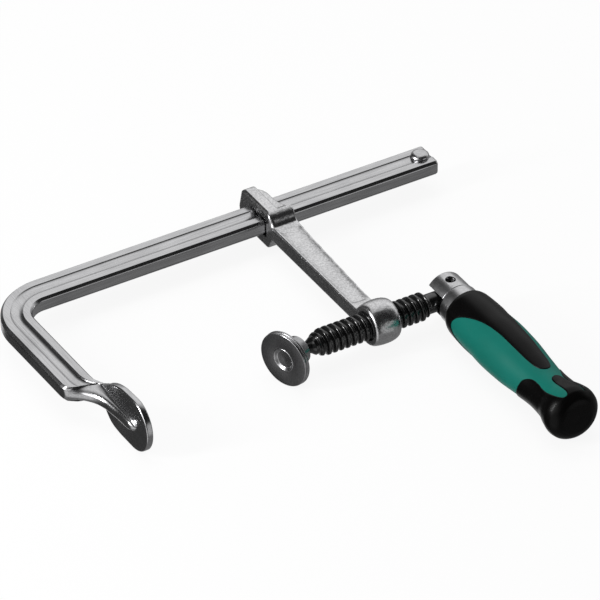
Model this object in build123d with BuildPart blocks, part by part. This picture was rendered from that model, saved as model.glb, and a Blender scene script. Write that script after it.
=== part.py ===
"""F clamp with a forged fixed arm, a sliding arm, a trapezoidal-thread spindle and a fold-down handle.

Frame: origin at the centre of the fixed jaw's clamping face, on the spindle axis.
+X runs along the spindle and the rail towards the rail's free end, the arms and the folded
handle lie towards -Y, and +Z is up, square to the flat of the clamp.  Millimetres.
"""
import os
from math import atan2, degrees, sqrt

from build123d import *

# ---- rail and fixed arm -------------------------------------------------------------------
THROAT_AXIS = 116.5          # rail centreline above the spindle axis
RAIL_END = 262.5             # free end of the rail
BAR_WIDTH = 19.0
BAR_THICK = 9.4
BAR_CHAMFER = 1.25
GROOVE_WIDTH = 6.8
GROOVE_DEPTH = 0.7
GROOVE_WALL_ANGLE = 45.0     # from the vertical
ARM_CENTRE_X = -13.5         # centreline of the fixed arm
BEND_OUTER = 35.5
BEND_INNER = 13.0
GROOVE_STOP_Y = 31.0         # the groove of the arm runs out into the jaw here

# ---- fixed jaw ----------------------------------------------------------------------------
JAW_THICK = 4.0
JAW_HALF_WIDTH = 16.0
JAW_TIP_Y = -27.5
JAW_ROOT_Y = 21.5
RIB_TOP_Y = 30.0
RIB_SECTIONS = [              # y, outer x, inner x, half height
    (RIB_TOP_Y, -23.0, -4.0, 4.7),
    (25.0, -17.4, -2.2, 4.7),
    (17.0, -11.1, -1.0, 4.7),
    (8.0, -8.2, -1.0, 4.2),
    (-9.0, -6.7, -1.0, 3.4),
    (-14.0, -5.2, -1.0, 2.2),
]

# ---- rivet stop ---------------------------------------------------------------------------
RIVET_FROM_END = 6.7
RIVET_HEAD_R = 5.1
RIVET_TOP_R = 3.7
RIVET_HEAD_H = 2.5
RIVET_SHANK_R = 2.5

# ---- sliding arm --------------------------------------------------------------------------
SLIDE_LEFT_X = 149.6         # jaw side of the sliding arm
SLIDE_ROOT_WIDTH = 15.0
SLIDE_TIP_WIDTH = 12.7
SLIDE_THICK = 9.4
HEAD_FAR_Y = 136.0
HEAD_NEAR_Y = 103.0          # where the bridge meets the beam
LOOP_NEAR_Y = 105.6
HEAD_MID_Z = 6.6             # half height of the wide part of the loop
SHOULDER_WIDTH = 16.0        # the loop's thick side next to the beam
SHOULDER_NEAR_Y = 98.8       # where the shoulder sinks into the beam
BRIDGE_TOP_Z = 11.0
BRIDGE_BOTTOM_Z = -12.2
BRIDGE_WIDTH = 7.5
RAIL_CLEARANCE = 0.35
BOSS_START_X = 149.9
BOSS_LENGTH = 17.0
BOSS_END_R = 11.0
BOSS_MID_R = 12.7
BOSS_BORE_R = 8.35

# ---- spindle ------------------------------------------------------------------------------
THREAD_R = 8.0
THREAD_ROOT_R = 6.2
THREAD_PITCH = 4.0
THREAD_START_X = 121.0
THREAD_TURNS = 16
BALL_X = 105.9
BALL_R = 4.6
BALL_NECK_R = 2.9
NECK_R = 5.7
HINGE_X = 204.0

# ---- swivelling pressure plate --------------------------------------------------------------
PLATE_TILT = 18.5            # degrees about Z, as the plate hangs
PLATE_R = 16.2
PLATE_THICK = 3.4
PLATE_FACE_BACK = 11.4       # clamping face to ball centre
SOCKET_R = 8.2
SOCKET_FLANGE_R = 7.0
SOCKET_REAR = 2.2            # socket mouth behind the ball centre
SOCKET_LIP = 0.6
SOCKET_MOUTH_R = 4.35
SOCKET_CAVITY_R = 6.2
SEAT_INNER_R = 4.68
SEAT_OUTER_R = 5.9

# ---- folding handle: stations run from the fork's end along -Y --------------------------------
FORK_END_Y = 7.8
FORK_R = 11.5
FORK_CHEEK = 15.2
FORK_SLOT = 13.0
FORK_BODY_R = 10.6
SHANK_R = 6.0
SHANK_END = 93.0
FERRULE_END = 23.7
FERRULE_R = 12.0
PIN_R = 3.0
PIN_BORE_R = 1.5
PIN_HALF = 9.6
PIN_FIT = 0.06
GRIP_SKIN = 1.6
HANDLE_STATIONS = [
    (23.7, 12.9), (28.0, 14.3), (38.7, 15.0), (49.3, 15.3), (60.5, 15.8), (76.0, 15.3),
    (92.8, 13.6), (108.3, 12.4), (118.3, 12.9), (126.0, 14.9), (131.5, 15.7),
]
KNOB_END = 139.0
KNOB_FLAT_R = 9.6
FRONT_TONGUE_END = 99.0
REAR_TONGUE_START = 98.0
CAP_R = 9.0


def save(built, label):
    """Label a finished piece and write it as its own STEP file."""
    built.part.label = label
    export_step(built.part, f"parts/{label}.step")
    print(f"{label}: {len(built.part.solids())} solid(s), {built.part.volume:.0f} mm3")


def bar_outline(inset):
    """Closed outline of the rail and fixed arm in XY, moved in by inset on both long sides."""
    half = BAR_WIDTH / 2 - inset
    top_y = THROAT_AXIS + half
    low_y = THROAT_AXIS - half
    left_x = ARM_CENTRE_X - half
    right_x = ARM_CENTRE_X + half
    outer = BEND_OUTER - inset
    inner = BEND_INNER + inset
    with BuildSketch() as sketch:
        with BuildLine():
            Line((RAIL_END, top_y), (left_x + outer, top_y))
            CenterArc((left_x + outer, top_y - outer), outer, 90, 90)
            Line((left_x, top_y - outer), (left_x, RIB_TOP_Y))
            Line((left_x, RIB_TOP_Y), (right_x, RIB_TOP_Y))
            Line((right_x, RIB_TOP_Y), (right_x, low_y - inner))
            CenterArc((right_x + inner, low_y - inner), inner, 180, -90)
            Line((right_x + inner, low_y), (RAIL_END, low_y))
            Line((RAIL_END, low_y), (RAIL_END, top_y))
        make_face()
    return sketch.sketch


def groove_outline():
    """Strip along the bar's centreline, from past the free end to the jaw."""
    half = GROOVE_WIDTH / 2
    radius = (BEND_OUTER + BEND_INNER) / 2
    centre = (ARM_CENTRE_X + radius, THROAT_AXIS - radius)
    with BuildSketch() as sketch:
        with BuildLine():
            Line((RAIL_END + 5, THROAT_AXIS + half), (centre[0], THROAT_AXIS + half))
            CenterArc(centre, radius + half, 90, 90)
            Line((ARM_CENTRE_X - half, centre[1]), (ARM_CENTRE_X - half, GROOVE_STOP_Y + 5))
            Line((ARM_CENTRE_X - half, GROOVE_STOP_Y + 5), (ARM_CENTRE_X + half, GROOVE_STOP_Y))
            Line((ARM_CENTRE_X + half, GROOVE_STOP_Y), (ARM_CENTRE_X + half, centre[1]))
            CenterArc(centre, radius - half, 180, -90)
            Line((centre[0], THROAT_AXIS - half), (RAIL_END + 5, THROAT_AXIS - half))
            Line((RAIL_END + 5, THROAT_AXIS - half), (RAIL_END + 5, THROAT_AXIS + half))
        make_face()
    return sketch.sketch


def rail_and_fixed_jaw():
    """Drop-forged bar bent square, grooved on both wide faces, with the pad-shaped jaw."""
    rivet_x = RAIL_END - RIVET_FROM_END
    with BuildPart() as bar:
        with BuildSketch():
            add(bar_outline(0))
        extrude(amount=BAR_THICK / 2, both=True)
        rims = bar.faces().filter_by(Axis.Z).edges()
        chamfer(rims.filter_by(lambda e: e.center().Y > RIB_TOP_Y + 1), BAR_CHAMFER)
        for side in (1, -1):
            plane = Plane.XY.offset(side * BAR_THICK / 2)
            with BuildSketch(plane):
                add(groove_outline())
            extrude(amount=-side * GROOVE_DEPTH, taper=GROOVE_WALL_ANGLE, mode=Mode.SUBTRACT)
        with Locations((rivet_x, THROAT_AXIS)):
            Hole(RIVET_SHANK_R)
        # pad of the jaw: an oval with a round tip, narrowing into the arm
        tip_centre = JAW_TIP_Y + JAW_HALF_WIDTH
        with BuildSketch(Plane.YZ.offset(-JAW_THICK)):
            with BuildLine():
                Spline(
                    (tip_centre, JAW_HALF_WIDTH), (0, 15.5), (10, 12.6),
                    (JAW_ROOT_Y - 6.5, 9.6), (JAW_ROOT_Y, BAR_THICK / 2), tangents=((1, 0), (1, -0.6)),
                )
                Line((JAW_ROOT_Y, BAR_THICK / 2), (JAW_ROOT_Y, -BAR_THICK / 2))
                Spline(
                    (JAW_ROOT_Y, -BAR_THICK / 2), (JAW_ROOT_Y - 4.5, -10.6), (11, -14.4),
                    (0, -15.9), (tip_centre, -JAW_HALF_WIDTH), tangents=((-0.6, -1), (-1, 0)),
                )
                CenterArc((tip_centre, 0), JAW_HALF_WIDTH, 270, -180)
            make_face()
        extrude(amount=JAW_THICK)
        # tapering rib that carries the arm down the back of the pad
        for y, outer_x, inner_x, half_z in RIB_SECTIONS:
            with BuildSketch(Plane.XZ.offset(-y)):
                with Locations(((outer_x + inner_x) / 2, 0)):
                    Rectangle(inner_x - outer_x, 2 * half_z)
        loft(ruled=True)
    return bar


def end_stop_rivet():
    """Rivet across the rail's free end that keeps the sliding arm on."""
    face = BAR_THICK / 2
    lip = face + RIVET_HEAD_H
    shoulder = lip - 1.1
    with BuildPart() as rivet:
        with BuildSketch(Plane.XZ.offset(-THROAT_AXIS)):
            with BuildLine():
                Polyline(
                    (0, -lip), (RIVET_TOP_R, -lip), (RIVET_HEAD_R, -shoulder),
                    (RIVET_HEAD_R, -face), (RIVET_SHANK_R, -face), (RIVET_SHANK_R, face),
                    (RIVET_HEAD_R, face), (RIVET_HEAD_R, shoulder), (RIVET_TOP_R, lip), (0, lip),
                    close=True,
                )
            make_face()
        revolve(axis=Axis((0, THROAT_AXIS, 0), (0, 0, 1)))
    with BuildPart() as placed:
        with Locations((RAIL_END - RIVET_FROM_END, 0, 0)):
            add(rivet.part)
    return placed


def sliding_arm():
    """Forged arm: a loop round the rail, a tapering beam and the threaded boss."""
    left = SLIDE_LEFT_X
    far = HEAD_FAR_Y
    with BuildPart() as arm:
        # loop round the rail
        with BuildSketch(Plane.XY.offset(-HEAD_MID_Z)):
            with BuildLine():
                Polyline(
                    (left, LOOP_NEAR_Y), (left, far - 4), (left + 4, far), (left + 10, far - 1),
                    (left + 14, far - 7), (left + 14.2, 118), (left + SHOULDER_WIDTH, 113),
                    (left + SHOULDER_WIDTH, LOOP_NEAR_Y), close=True,
                )
            make_face()
        extrude(amount=2 * HEAD_MID_Z)
        with BuildSketch(Plane.YZ.offset(left)):
            with BuildLine():
                Polyline(
                    (HEAD_NEAR_Y + 1, -8), (HEAD_NEAR_Y + 3, BRIDGE_BOTTOM_Z),
                    (HEAD_NEAR_Y + 16, BRIDGE_BOTTOM_Z), (far - 3, -6), (far - 1, -3),
                    (far - 4, BRIDGE_TOP_Z - 2), (far - 6, BRIDGE_TOP_Z),
                    (HEAD_NEAR_Y + 5, BRIDGE_TOP_Z), (HEAD_NEAR_Y + 1, 7), close=True,
                )
            make_face()
        extrude(amount=BRIDGE_WIDTH)
        # thick shoulder across the loop's side next to the beam
        slope = [
            (THROAT_AXIS + 1.5, SLIDE_THICK / 2), (108.3, 10.0), (106.0, BRIDGE_TOP_Z), (104.2, 10.2),
            (101.6, 8.2), (100.2, 6.2), (SHOULDER_NEAR_Y, SLIDE_THICK / 2),
        ]
        with BuildSketch(Plane.YZ.offset(left)):
            with BuildLine():
                Polyline(*slope, *((y, -z) for y, z in reversed(slope)), close=True)
            make_face()
        extrude(amount=SHOULDER_WIDTH)
        # tapering beam down to the boss
        with BuildSketch(Plane.XY.offset(-SLIDE_THICK / 2)):
            with BuildLine():
                Polyline(
                    (left, LOOP_NEAR_Y + 1), (left, 4), (left + SLIDE_TIP_WIDTH - 0.5, 4),
                    (left + SLIDE_TIP_WIDTH, 25), (left + SLIDE_ROOT_WIDTH, 86),
                    (left + SHOULDER_WIDTH, HEAD_NEAR_Y), (left + SHOULDER_WIDTH, LOOP_NEAR_Y + 1),
                    close=True,
                )
            make_face()
        extrude(amount=SLIDE_THICK)
        # barrel-shaped boss round the spindle
        middle = BOSS_START_X + BOSS_LENGTH / 2
        end = BOSS_START_X + BOSS_LENGTH
        with BuildSketch():
            with BuildLine():
                Line((BOSS_START_X, 0), (BOSS_START_X, BOSS_END_R))
                ThreePointArc((BOSS_START_X, BOSS_END_R), (middle, BOSS_MID_R), (end, BOSS_END_R))
                Line((end, BOSS_END_R), (end, 0))
                Line((end, 0), (BOSS_START_X, 0))
            make_face()
        revolve(axis=Axis.X)
        # bore for the spindle and passage for the rail
        with BuildSketch(Plane.YZ.offset(left - 5)):
            Circle(BOSS_BORE_R)
        extrude(amount=BOSS_LENGTH + 20, mode=Mode.SUBTRACT)
        with BuildSketch(Plane.YZ.offset(left - 5)):
            with Locations((THROAT_AXIS, 0)):
                Rectangle(BAR_WIDTH + 2 * RAIL_CLEARANCE, BAR_THICK + 2 * RAIL_CLEARANCE)
        extrude(amount=40, mode=Mode.SUBTRACT)
    return arm


def spindle():
    """Ball-ended spindle with a trapezoidal thread and a round eye for the hinge pin."""
    crest = THREAD_PITCH * 0.37
    root = THREAD_PITCH * 0.33
    flank = (THREAD_PITCH - crest - root) / 2
    ball_edge = BALL_X + sqrt(BALL_R ** 2 - BALL_NECK_R ** 2)
    neck_angle = degrees(atan2(BALL_NECK_R, ball_edge - BALL_X))
    taper_x = BALL_X + 5.6
    end_x = HINGE_X + NECK_R
    profile = [
        (ball_edge, BALL_NECK_R), (taper_x, BALL_NECK_R), (THREAD_START_X - 1, THREAD_ROOT_R),
    ]
    for turn in range(THREAD_TURNS):
        x = THREAD_START_X + turn * THREAD_PITCH
        profile += [
            (x, THREAD_ROOT_R), (x + flank, THREAD_R),
            (x + flank + crest, THREAD_R), (x + 2 * flank + crest, THREAD_ROOT_R),
        ]
    thread_end = profile[-1][0]
    with BuildPart() as rod:
        with BuildSketch():
            with BuildLine():
                CenterArc((BALL_X, 0), BALL_R, 180, neck_angle - 180)
                Polyline(*profile, (thread_end + 1.5, NECK_R), (HINGE_X, NECK_R))
                CenterArc((HINGE_X, 0), NECK_R, 90, -90)
                Line((end_x, 0), (BALL_X - BALL_R, 0))
            make_face()
        revolve(axis=Axis.X)
        with Locations((HINGE_X, 0, 0)):
            Cylinder(PIN_R + PIN_FIT, 4 * NECK_R, mode=Mode.SUBTRACT)
    return rod


def tilted(built):
    """Turn a plate piece from the spindle axis to the angle at which the plate hangs."""
    with BuildPart() as placed:
        add(built.part.rotate(Axis((BALL_X, 0, 0), (0, 0, 1)), PLATE_TILT))
    return placed


def turned_about_x(points):
    """Solid of revolution about X from an (x, r) outline."""
    with BuildPart() as body:
        with BuildSketch():
            with BuildLine():
                Polyline(*points, close=True)
            make_face()
        revolve(axis=Axis.X)
    return body


def pressure_plate():
    """Round plate with a grooved rim, pressed on the socket."""
    face = BALL_X - PLATE_FACE_BACK
    back = face + PLATE_THICK
    plate = turned_about_x([
        (face, SOCKET_FLANGE_R), (face, PLATE_R - 0.6), (face + 0.6, PLATE_R),
        (face + 1.5, PLATE_R), (face + 1.8, PLATE_R - 0.4), (face + 2.1, PLATE_R),
        (back - 0.5, PLATE_R), (back, PLATE_R - 0.5), (back, SOCKET_FLANGE_R),
    ])
    return tilted(plate)


def swivel_socket():
    """Cup that holds the spindle's ball; its bottom shows as a sunk disc in the plate's face."""
    face = BALL_X - PLATE_FACE_BACK
    plate_back = face + PLATE_THICK
    rear = BALL_X + SOCKET_REAR
    lip = rear - SOCKET_LIP
    cup = turned_about_x([
        (face + 0.3, 0), (face + 0.3, SOCKET_FLANGE_R - 1.4),
        (face, SOCKET_FLANGE_R - 0.9), (face, SOCKET_FLANGE_R),
        (plate_back, SOCKET_FLANGE_R), (plate_back, SOCKET_R + 0.4),
        (plate_back + 1.5, SOCKET_R), (rear - 0.8, SOCKET_R),
        (rear, SOCKET_R - 0.8), (rear, SOCKET_MOUTH_R), (lip, SOCKET_MOUTH_R),
        (lip, SOCKET_CAVITY_R), (BALL_X - 4.0, SOCKET_CAVITY_R),
        (BALL_X - SOCKET_CAVITY_R, 3.0), (BALL_X - SOCKET_CAVITY_R, 0),
    ])
    return tilted(cup)


def ball_seat():
    """Loose cup-shaped seat between the ball and the socket."""
    with BuildPart() as seat:
        with Locations((BALL_X, 0, 0)):
            Sphere(SEAT_OUTER_R)
            Sphere(SEAT_INNER_R, mode=Mode.SUBTRACT)
        split(bisect_by=Plane.YZ.offset(BALL_X - 1.2), keep=Keep.BOTTOM)
    return seat


def hinge_fork():
    """Turned fork with two cheeks round the spindle's eye and a shank into the handle."""
    cheek_y = FORK_END_Y - FORK_CHEEK
    body_y = FORK_END_Y - FERRULE_END
    shank_y = FORK_END_Y - SHANK_END
    with BuildPart() as fork:
        with BuildSketch():
            with BuildLine():
                Polyline(
                    (HINGE_X, FORK_END_Y), (HINGE_X + FORK_R - 1.4, FORK_END_Y),
                    (HINGE_X + FORK_R, FORK_END_Y - 1.4), (HINGE_X + FORK_R, cheek_y + 0.4),
                    (HINGE_X + FORK_R - 0.4, cheek_y), (HINGE_X + FORK_BODY_R, cheek_y),
                    (HINGE_X + FORK_BODY_R, body_y), (HINGE_X + SHANK_R, body_y),
                    (HINGE_X + SHANK_R, shank_y), (HINGE_X, shank_y), close=True,
                )
            make_face()
        revolve(axis=Axis((HINGE_X, 0, 0), (0, 1, 0)))
        slot_depth = FORK_END_Y - cheek_y
        with Locations((HINGE_X, FORK_END_Y - slot_depth / 2 + 5, 0)):
            Box(4 * FORK_R, slot_depth + 10, FORK_SLOT, mode=Mode.SUBTRACT)
        with Locations((HINGE_X, 0, 0)):
            Cylinder(PIN_R, 4 * FORK_R, mode=Mode.SUBTRACT)
    return fork


def hinge_pin():
    """Slotted spring pin through the fork and the spindle's eye."""
    with BuildPart() as pin:
        with Locations((HINGE_X, 0, 0)):
            Cylinder(PIN_R, 2 * PIN_HALF)
            Cylinder(PIN_BORE_R, 2 * PIN_HALF, mode=Mode.SUBTRACT)
        with Locations((HINGE_X + PIN_R, 0, 0)):
            Box(2 * PIN_R, 0.7, 2 * PIN_HALF, mode=Mode.SUBTRACT)
        chamfer(pin.edges().filter_by(GeomType.CIRCLE).group_by(Axis.Z)[0], 0.3)
        chamfer(pin.edges().filter_by(GeomType.CIRCLE).group_by(Axis.Z)[-1], 0.3)
    return pin


def ferrule():
    """Plain ring between the cheeks and the grip."""
    front = FORK_END_Y - FORK_CHEEK
    rear = FORK_END_Y - FERRULE_END
    with BuildPart() as ring:
        with BuildSketch():
            with BuildLine():
                Polyline(
                    (HINGE_X + FORK_BODY_R, front), (HINGE_X + FERRULE_R - 0.7, front),
                    (HINGE_X + FERRULE_R, front - 0.7), (HINGE_X + FERRULE_R, rear),
                    (HINGE_X + FORK_BODY_R, rear), close=True,
                )
            make_face()
        revolve(axis=Axis((HINGE_X, 0, 0), (0, 1, 0)))
    return ring


def handle_body(skin):
    """Handle outline turned about its axis, reduced by skin all round."""
    edge = [(HINGE_X + r - skin, FORK_END_Y - s) for s, r in HANDLE_STATIONS]
    first_y = FORK_END_Y - HANDLE_STATIONS[0][0]
    end_y = FORK_END_Y - KNOB_END + skin
    with BuildPart() as body:
        with BuildSketch():
            with BuildLine():
                Line((HINGE_X, first_y), edge[0])
                Spline(*edge)
                ThreePointArc(
                    edge[-1],
                    (HINGE_X + 13.8 - skin, end_y + 2.0 - skin / 4),
                    (HINGE_X + KNOB_FLAT_R - skin / 2, end_y),
                )
                Line((HINGE_X + KNOB_FLAT_R - skin / 2, end_y), (HINGE_X, end_y))
                Line((HINGE_X, end_y), (HINGE_X, first_y))
            make_face()
        revolve(axis=Axis((HINGE_X, 0, 0), (0, 1, 0)))
    return body.part


def shell_between(start, stop):
    """Skin of the handle between two stations."""
    middle = FORK_END_Y - (start + stop) / 2
    with BuildPart() as shell:
        add(handle_body(0))
        with Locations((HINGE_X, middle, 0)):
            Box(60, stop - start, 60, mode=Mode.INTERSECT)
        add(handle_body(GRIP_SKIN), mode=Mode.SUBTRACT)
    return shell.part


def grip_front():
    """Soft sleeve: a full collar at the fork and a long tongue on the top and the underside."""
    window_centre = FORK_END_Y - 66.0
    with BuildPart() as grip:
        add(shell_between(FERRULE_END, FRONT_TONGUE_END))
        # oval windows left and right of the tongues
        with BuildSketch(Plane.YZ):
            with Locations((window_centre - 4, 0)):
                Ellipse(40.0, 10.6)
            with Locations((window_centre - 22, 0)):
                Rectangle(28.0, 20.0)
        extrude(amount=2 * HINGE_X, mode=Mode.SUBTRACT)
    return grip


def grip_rear():
    """Soft knob sleeve with a short tongue on each side."""
    with BuildPart() as grip:
        add(shell_between(REAR_TONGUE_START, KNOB_END))
        for side in (1, -1):
            with BuildSketch(Plane.XY.offset(side * 30)):
                with Locations((HINGE_X, FORK_END_Y - 104)):
                    Ellipse(8.5, 17.0)
                with Locations((HINGE_X, FORK_END_Y - 94)):
                    Rectangle(17.0, 12.0)
            extrude(amount=-side * 24, mode=Mode.SUBTRACT)
        with BuildSketch(Plane.XZ.offset(-FORK_END_Y + 120)):
            with Locations((HINGE_X, 0)):
                Circle(CAP_R)
        extrude(amount=40, mode=Mode.SUBTRACT)
    return grip


def end_cap():
    """Disc set in the knob's end."""
    with BuildPart() as cap:
        with BuildSketch(Plane.XZ.offset(-FORK_END_Y + KNOB_END - GRIP_SKIN)):
            with Locations((HINGE_X, 0)):
                Circle(CAP_R)
        extrude(amount=GRIP_SKIN)
    return cap


def handle_core(front, rear, cap):
    """Hard core moulded over the fork's shank, showing between the soft sleeves."""
    with BuildPart() as core:
        add(handle_body(0))
        add(front.part, mode=Mode.SUBTRACT)
        add(rear.part, mode=Mode.SUBTRACT)
        add(cap.part, mode=Mode.SUBTRACT)
        with BuildSketch(Plane.XZ.offset(-FORK_END_Y + FERRULE_END)):
            with Locations((HINGE_X, 0)):
                Circle(SHANK_R)
        extrude(amount=SHANK_END - FERRULE_END, mode=Mode.SUBTRACT)
    return core


os.makedirs("parts", exist_ok=True)
save(rail_and_fixed_jaw(), "rail_and_fixed_jaw")
save(end_stop_rivet(), "end_stop_rivet")
save(sliding_arm(), "sliding_arm")
save(spindle(), "spindle")
save(ball_seat(), "ball_seat")
save(swivel_socket(), "swivel_socket")
save(pressure_plate(), "pressure_plate")
save(hinge_fork(), "hinge_fork")
save(hinge_pin(), "hinge_pin")
save(ferrule(), "ferrule")
front_sleeve = grip_front()
rear_sleeve = grip_rear()
cap = end_cap()
save(front_sleeve, "grip_front")
save(rear_sleeve, "grip_rear")
save(cap, "end_cap")
save(handle_core(front_sleeve, rear_sleeve, cap), "handle_core")
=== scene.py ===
"""Looks of the sliding-arm clamp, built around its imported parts.

Metres, in the parts' own frame: origin at the centre of the fixed jaw's face, +X along the spindle,
arms and handle towards -Y, +Z up.
"""
from math import acos, cos, exp, hypot, pi, radians, sin, sqrt

import bmesh
import bpy
from mathutils import Matrix, Vector


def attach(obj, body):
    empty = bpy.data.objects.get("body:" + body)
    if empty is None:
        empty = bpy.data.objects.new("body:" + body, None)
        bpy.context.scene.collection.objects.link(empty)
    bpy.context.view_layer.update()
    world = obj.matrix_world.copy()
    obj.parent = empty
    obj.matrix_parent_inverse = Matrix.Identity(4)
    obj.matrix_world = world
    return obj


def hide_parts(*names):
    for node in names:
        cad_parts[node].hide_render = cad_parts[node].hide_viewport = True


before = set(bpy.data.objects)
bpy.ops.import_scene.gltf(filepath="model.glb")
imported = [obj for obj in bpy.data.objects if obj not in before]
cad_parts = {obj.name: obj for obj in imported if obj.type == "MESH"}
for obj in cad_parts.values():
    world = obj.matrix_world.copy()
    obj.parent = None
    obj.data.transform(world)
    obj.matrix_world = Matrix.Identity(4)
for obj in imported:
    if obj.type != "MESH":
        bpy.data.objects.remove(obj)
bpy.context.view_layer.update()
MM = 0.001


# ---- shared helpers -------------------------------------------------------------------------

def between(low, high, t):
    """Value a share t of the way from low to high."""
    return low + (high - low) * t


def ease(t):
    """0 to 1 with flat ends."""
    t = min(max(t, 0.0), 1.0)
    return t * t * (3 - 2 * t)


def curve_through(points):
    """Smooth function through (x, value) points, with no overshoot, flat beyond its ends."""
    xs = [p[0] for p in points]
    ys = [p[1] for p in points]
    steps = [(ys[i + 1] - ys[i]) / (xs[i + 1] - xs[i]) for i in range(len(xs) - 1)]
    slopes = [steps[0]]
    for a, b in zip(steps, steps[1:]):
        slopes.append(0.0 if a * b <= 0 else 2 * a * b / (a + b))
    slopes.append(steps[-1])

    def value(x):
        if x <= xs[0]:
            return ys[0]
        if x >= xs[-1]:
            return ys[-1]
        i = max(k for k in range(len(xs) - 1) if xs[k] <= x)
        h = xs[i + 1] - xs[i]
        t = (x - xs[i]) / h
        start = (2 * t ** 3 - 3 * t ** 2 + 1) * ys[i] + (t ** 3 - 2 * t ** 2 + t) * h * slopes[i]
        stop = (3 * t ** 2 - 2 * t ** 3) * ys[i + 1] + (t ** 3 - t ** 2) * h * slopes[i + 1]
        return start + stop
    return value


def rounded(corners, radius, steps=4):
    """Closed 2-D outline with each corner eased by a short arc."""
    outline = []
    count = len(corners)
    for i, corner in enumerate(corners):
        here = Vector(corner[:2])
        size = corner[2] if len(corner) > 2 else radius
        back = Vector(corners[i - 1][:2]) - here
        ahead = Vector(corners[(i + 1) % count][:2]) - here
        size = min(size, back.length * 0.45, ahead.length * 0.45)
        start = here + back.normalized() * size
        stop = here + ahead.normalized() * size
        for k in range(steps + 1):
            t = k / steps
            outline.append(start.lerp(here, t).lerp(here.lerp(stop, t), t))
    return outline


def new_piece(name, mesh, body, material, nodes, smooth_angle):
    """Finish a bmesh as an object that rides on a body and stands for CAD nodes."""
    bmesh.ops.remove_doubles(mesh, verts=mesh.verts, dist=1e-6)
    bmesh.ops.recalc_face_normals(mesh, faces=mesh.faces)
    if mesh.calc_volume(signed=True) < 0:
        bmesh.ops.reverse_faces(mesh, faces=mesh.faces)
    data = bpy.data.meshes.new(name)
    mesh.to_mesh(data)
    mesh.free()
    piece = bpy.data.objects.new(name, data)
    bpy.context.scene.collection.objects.link(piece)
    data.materials.append(material)
    shade(piece, smooth_angle)
    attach(piece, body)
    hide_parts(*nodes)
    return piece


def shade(piece, smooth_angle):
    """Smooth faces, with hard edges where they meet above an angle."""
    data = piece.data
    data.polygons.foreach_set("use_smooth", [True] * len(data.polygons))
    data.set_sharp_from_angle(angle=radians(smooth_angle))


def roll_off(inside, radius):
    """How much an edge rounded to a radius takes off at a distance inside the edge."""
    rest = radius - min(max(inside, 0.0), radius)
    return radius - sqrt(radius * radius - rest * rest)


def surface(rows, columns, place):
    """Grid of rows by columns quads, each vertex put where place(row, column) says."""
    mesh = bmesh.new()
    bmesh.ops.create_grid(mesh, x_segments=rows, y_segments=columns, size=1)
    for vertex in mesh.verts:
        row = round((vertex.co.x + 1) / 2 * rows)
        column = round((vertex.co.y + 1) / 2 * columns)
        vertex.co = place(row, column)
    bmesh.ops.remove_doubles(mesh, verts=mesh.verts, dist=1e-7)
    return mesh


def close_ends(mesh):
    """Fill whatever loops are still open."""
    edges = [e for e in mesh.edges if e.is_boundary]
    if edges:
        bmesh.ops.holes_fill(mesh, edges=edges, sides=0)


def turned(outline, axis, centre, steps=96):
    """Closed solid turned from an (along, radius) outline in millimetres, about an axis."""
    along = Vector(axis).normalized()
    side = along.orthogonal().normalized()
    mesh = bmesh.new()
    verts = [mesh.verts.new((Vector(centre) + along * a + side * r) * MM) for a, r in outline]
    edges = [mesh.edges.new((verts[i], verts[(i + 1) % len(verts)])) for i in range(len(verts))]
    bmesh.ops.spin(
        mesh, geom=verts + edges, cent=Vector(centre) * MM, axis=along, angle=2 * pi,
        steps=steps, use_merge=True, use_duplicate=False,
    )
    bmesh.ops.remove_doubles(mesh, verts=mesh.verts, dist=1e-6)
    bmesh.ops.dissolve_degenerate(mesh, dist=1e-7, edges=mesh.edges)
    return mesh


def apply_modifiers(piece):
    """Turn a piece's modifiers into its mesh."""
    graph = bpy.context.evaluated_depsgraph_get()
    graph.update()
    data = bpy.data.meshes.new_from_object(piece.evaluated_get(graph))
    old = piece.data
    piece.modifiers.clear()
    piece.data = data
    bpy.data.meshes.remove(old)


def cut(piece, tools):
    """Cut closed tool meshes out of a piece."""
    for tool in tools:
        data = bpy.data.meshes.new("cutter")
        bmesh.ops.recalc_face_normals(tool, faces=tool.faces)
        tool.to_mesh(data)
        tool.free()
        cutter = bpy.data.objects.new("cutter", data)
        bpy.context.scene.collection.objects.link(cutter)
        boolean = piece.modifiers.new("cut", "BOOLEAN")
        boolean.operation = "DIFFERENCE"
        boolean.solver = "EXACT"
        boolean.object = cutter
        apply_modifiers(piece)
        bpy.data.objects.remove(cutter)
        bpy.data.meshes.remove(data)


def block(low, high):
    """Closed box between two corners, in millimetres."""
    mesh = bmesh.new()
    size = Vector(high) - Vector(low)
    middle = (Vector(high) + Vector(low)) / 2
    place = Matrix.Translation(middle * MM) @ Matrix.Diagonal((*(size * MM), 1))
    bmesh.ops.create_cube(mesh, size=1, matrix=place)
    return mesh


def prism(outline, normal, low, high):
    """Closed solid from a 2-D outline, pushed along X, Y or Z between two heights, in millimetres."""
    put = {
        "X": lambda a, b, h: Vector((h, a, b)),
        "Y": lambda a, b, h: Vector((a, h, b)),
        "Z": lambda a, b, h: Vector((a, b, h)),
    }[normal]
    mesh = bmesh.new()
    face = mesh.faces.new([mesh.verts.new(put(p[0], p[1], low) * MM) for p in outline])
    grown = bmesh.ops.extrude_face_region(mesh, geom=[face])
    tops = [g for g in grown["geom"] if isinstance(g, bmesh.types.BMVert)]
    shift = (put(0, 0, high) - put(0, 0, low)) * MM
    bmesh.ops.translate(mesh, verts=tops, vec=shift)
    bmesh.ops.recalc_face_normals(mesh, faces=mesh.faces)
    return mesh


def joined(meshes):
    """One bmesh that holds several."""
    whole = bmesh.new()
    for mesh in meshes:
        data = bpy.data.meshes.new("part")
        mesh.to_mesh(data)
        mesh.free()
        whole.from_mesh(data)
        bpy.data.meshes.remove(data)
    return whole


# ---- materials ------------------------------------------------------------------------------

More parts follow.
